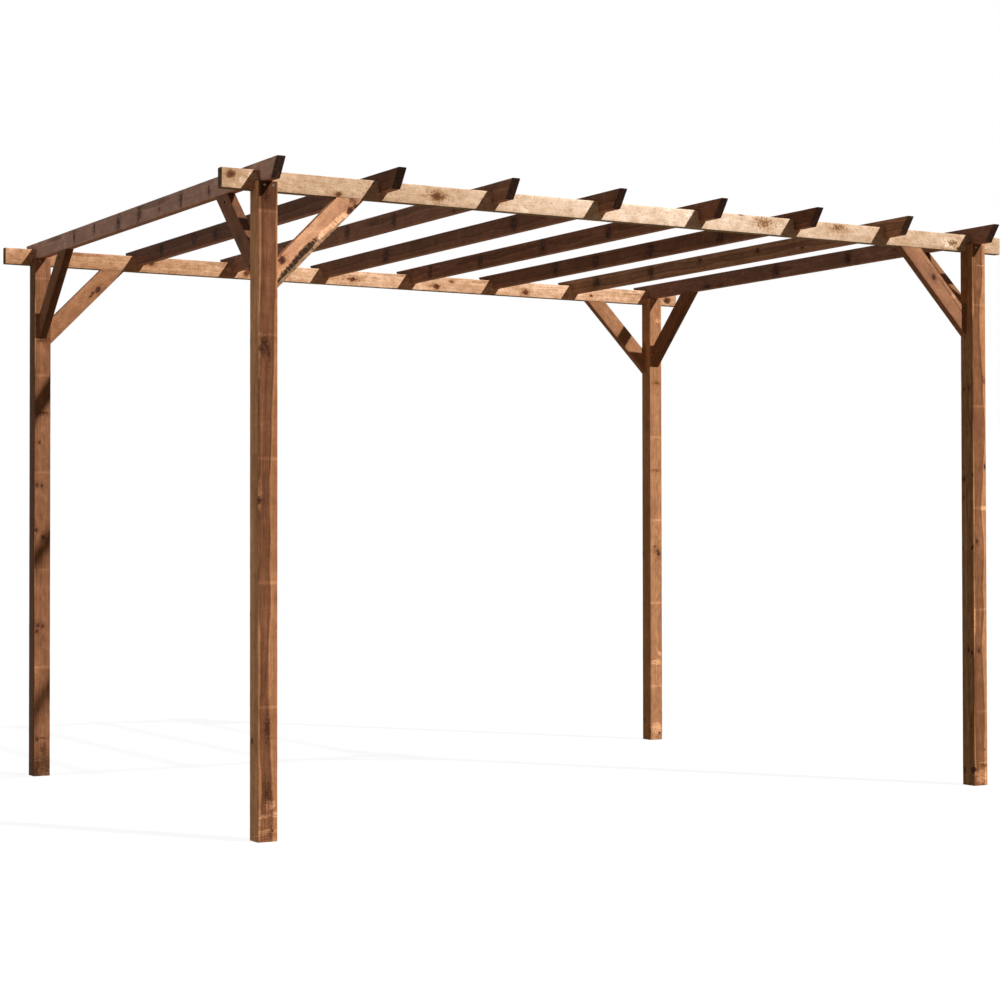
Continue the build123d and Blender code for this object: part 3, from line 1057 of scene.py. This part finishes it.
class PERGOLA_OT_posts(bpy.types.Operator):
    """Makes the four posts with their halved heads"""

    bl_idname = "pergola.posts"
    bl_label = "Posts"

    def execute(self, context):
        f = context.scene.pergola_finish
        tone = {"sap": f.post_sap, "heart": f.post_heart, "knot": f.knot, "side": f.post_sap}
        make_timbers(context, "post", {"post": tone})
        return {"FINISHED"}


class PERGOLA_OT_beams(bpy.types.Operator):
    """Makes the front and rear beams"""

    bl_idname = "pergola.beams"
    bl_label = "Beams"

    def execute(self, context):
        f = context.scene.pergola_finish
        tones = {}
        for row, wood, knot in (("front", f.front_beam, "#7A4E30"), ("rear", f.rear_beam, "#6E3F26")):
            tone = {"sap": wood, "heart": shade_of(wood, 0.8), "knot": colour(knot), "side": wood}
            tones["beam_" + row] = tone
        make_timbers(context, "beam", tones)
        return {"FINISHED"}


class PERGOLA_OT_rafters(bpy.types.Operator):
    """Makes the row of notched rafters with raked ends"""

    bl_idname = "pergola.rafters"
    bl_label = "Rafters"

    def execute(self, context):
        f = context.scene.pergola_finish
        tone = {"sap": f.rafter, "heart": shade_of(f.rafter, 0.8), "knot": f.knot, "side": f.rafter_under_painted_light}
        # A rafter's own front is its underside, whose paler colour is painted light from below.
        tone["facing"] = ("front",)
        make_timbers(context, "rafter", {"rafter": tone})
        return {"FINISHED"}


class PERGOLA_OT_braces(bpy.types.Operator):
    """Makes the eight mitred knee braces"""

    bl_idname = "pergola.braces"
    bl_label = "Knee braces"

    def execute(self, context):
        f = context.scene.pergola_finish
        tone = {"sap": f.brace, "heart": shade_of(f.brace, 0.85), "knot": f.knot, "side": f.brace}
        make_timbers(context, "brace", {"brace": tone})
        return {"FINISHED"}


class PERGOLA_OT_screws(bpy.types.Operator):
    """Sets a screw head in every countersunk hole"""

    bl_idname = "pergola.screws"
    bl_label = "Screws"

    def execute(self, context):
        settings = context.scene.pergola_screws
        spots, ways = [], []
        for host, place, outward in screw_places():
            sunk = HEAD_SINK + (settings.brace_sink if host.startswith("brace") else 0.0)
            spots.append(place - outward * sunk)
            ways.extend(outward)
        points = bpy.data.meshes.new("screw_points")
        points.from_pydata(spots, [], [])
        points.attributes.new("outward", "FLOAT_VECTOR", "POINT").data.foreach_set("vector", ways)
        piece = grow("screw_heads", screw_heads(), {
            "Head radius": settings.head_radius, "Head height": settings.head_height,
            "Recess": settings.head_radius * 1.1, "Seed": settings.seed, "Steel": steel_material(),
        })
        piece.data = points
        settle(piece)
        piece.data.shade_smooth()
        piece.data.set_sharp_from_angle(angle=math.radians(25))
        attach(piece, "root")
        return {"FINISHED"}


def floor_paint(tint):
    """Matt white paint, rolled: the camera sees it near white, and it throws little light back up."""
    paint = bpy.data.materials.new("rolled_matt_paint")
    tree = emptied(paint)
    matt = add(tree, "ShaderNodeBsdfDiffuse", {"Color": tint})
    glow = add(tree, "ShaderNodeEmission", {"Color": (1, 1, 1, 1), "Strength": 1.07})
    seen = add(tree, "ShaderNodeMixShader", {0: 0.13, 1: glow, 2: matt})
    dull = add(tree, "ShaderNodeBsdfDiffuse", {"Color": colour("#6A5742")})
    known = {socket.name: socket for socket in add(tree, "ShaderNodeLightPath").outputs}
    work_out(tree, known, (("straight", "MAXIMUM", "Is Camera Ray", "Is Glossy Ray"),))
    both = add(tree, "ShaderNodeMixShader", {0: known["straight"], 1: dull, 2: seen})
    add(tree, "ShaderNodeOutputMaterial", {"Surface": both})
    return paint


def studio_world(fill):
    """A world that looks white and lights the object only a little."""
    world = bpy.data.worlds.new("studio_light")
    tree = emptied(world)
    known = {socket.name: socket for socket in add(tree, "ShaderNodeLightPath").outputs}
    work_out(tree, known, (
        ("straight", "MAXIMUM", "Is Camera Ray", "Is Glossy Ray"),
        ("straight", "MAXIMUM", "straight", "Is Transmission Ray"),
    ))
    level = add(tree, MIX, {0: known["straight"], 2: fill, 3: 1.0}, data_type="FLOAT")
    sky = add(tree, "ShaderNodeBackground", {"Color": (1, 1, 1, 1), "Strength": level})
    add(tree, "ShaderNodeOutputWorld", {"Surface": sky})
    return world


class PERGOLA_OT_stage(bpy.types.Operator):
    """Sets up the pale floor, the lamps and the camera"""

    bl_idname = "pergola.stage"
    bl_label = "Studio"

    def execute(self, context):
        settings = context.scene.pergola_stage
        scene = context.scene
        mesh = bpy.data.meshes.new("studio_floor")
        wide = 60
        corners = [(-wide, -wide, 0), (wide, -wide, 0), (wide, wide, 0), (-wide, wide, 0)]
        mesh.from_pydata(corners, [], [(0, 1, 2, 3)])
        floor = bpy.data.objects.new("studio_floor", mesh)
        scene.collection.objects.link(floor)
        mesh.materials.append(floor_paint(settings.floor))
        scene.world = studio_world(settings.fill)

        lamp = bpy.data.lights.new("key_lamp", "SUN")
        lamp.energy, lamp.angle = settings.key, settings.softness
        key = bpy.data.objects.new("key_lamp", lamp)
        key.rotation_mode = "QUATERNION"
        key.rotation_quaternion = Vector((-0.68, 1.0, -0.96)).to_track_quat("-Z", "Y")
        key.location = (4, -6, 6)
        scene.collection.objects.link(key)

        # A long low softbox level with the rafters, so that it reaches the left side but not between them.
        lamp = bpy.data.lights.new("side_lamp", "AREA")
        lamp.shape, lamp.size, lamp.size_y, lamp.energy = "RECTANGLE", 4.0, 0.5, settings.side_light
        side = bpy.data.objects.new("side_lamp", lamp)
        to_right = Vector((1, 0, 0)).to_track_quat("-Z", "Z").to_matrix().to_4x4()
        side.matrix_world = Matrix.Translation((-9.0, -0.6, 2.32)) @ to_right
        scene.collection.objects.link(side)

        # The camera stands where the photo's did, a little above a metre up, and has no shift.
        data = bpy.data.cameras.new("camera")
        data.sensor_width, data.lens, data.clip_end = 36.0, 77.905, 300
        camera = bpy.data.objects.new("camera", data)
        yaw, pitch, roll = (math.radians(a) for a in (30.423, 0.961, -0.0787))
        aim = Matrix.Rotation(-yaw, 4, "Z") @ Matrix.Rotation(math.pi / 2 + pitch, 4, "X")
        aim = aim @ Matrix.Rotation(roll, 4, "Z")
        camera.matrix_world = Matrix.Translation((-4.7442, -8.1087, 1.0548)) @ aim
        scene.collection.objects.link(camera)
        scene.camera = camera
        scene.view_settings.view_transform = "Standard"
        return {"FINISHED"}


STEPS = (
    PERGOLA_OT_posts, PERGOLA_OT_beams, PERGOLA_OT_rafters, PERGOLA_OT_braces, PERGOLA_OT_screws,
    PERGOLA_OT_stage,
)


class PERGOLA_PT_panel(bpy.types.Panel):
    """Lists the pergola's settings and its steps"""

    bl_idname = "PERGOLA_PT_panel"
    bl_label = "Timber pergola"
    bl_space_type = "VIEW_3D"
    bl_region_type = "UI"
    bl_category = "Pergola"

    def draw(self, context):
        for step in STEPS:
            self.layout.operator(step.bl_idname)
        for name in GROUPS:
            group = getattr(context.scene, name)
            for prop in group.__annotations__:
                self.layout.prop(group, prop)


GROUPS = {
    "pergola_timber": PergolaTimber,
    "pergola_finish": PergolaFinish,
    "pergola_screws": PergolaScrews,
    "pergola_stage": PergolaStage,
}


def register():
    for group in (*GROUPS.values(), *STEPS, PERGOLA_PT_panel):
        bpy.utils.register_class(group)
    for name, group in GROUPS.items():
        setattr(bpy.types.Scene, name, PointerProperty(type=group))


def unregister():
    for name in GROUPS:
        delattr(bpy.types.Scene, name)
    for group in reversed((*GROUPS.values(), *STEPS, PERGOLA_PT_panel)):
        bpy.utils.unregister_class(group)


def main():
    register()
    bpy.ops.pergola.posts()
    bpy.ops.pergola.beams()
    bpy.ops.pergola.rafters()
    bpy.ops.pergola.braces()
    bpy.ops.pergola.screws()
    bpy.ops.pergola.stage()


if __name__ == "__main__":
    main()
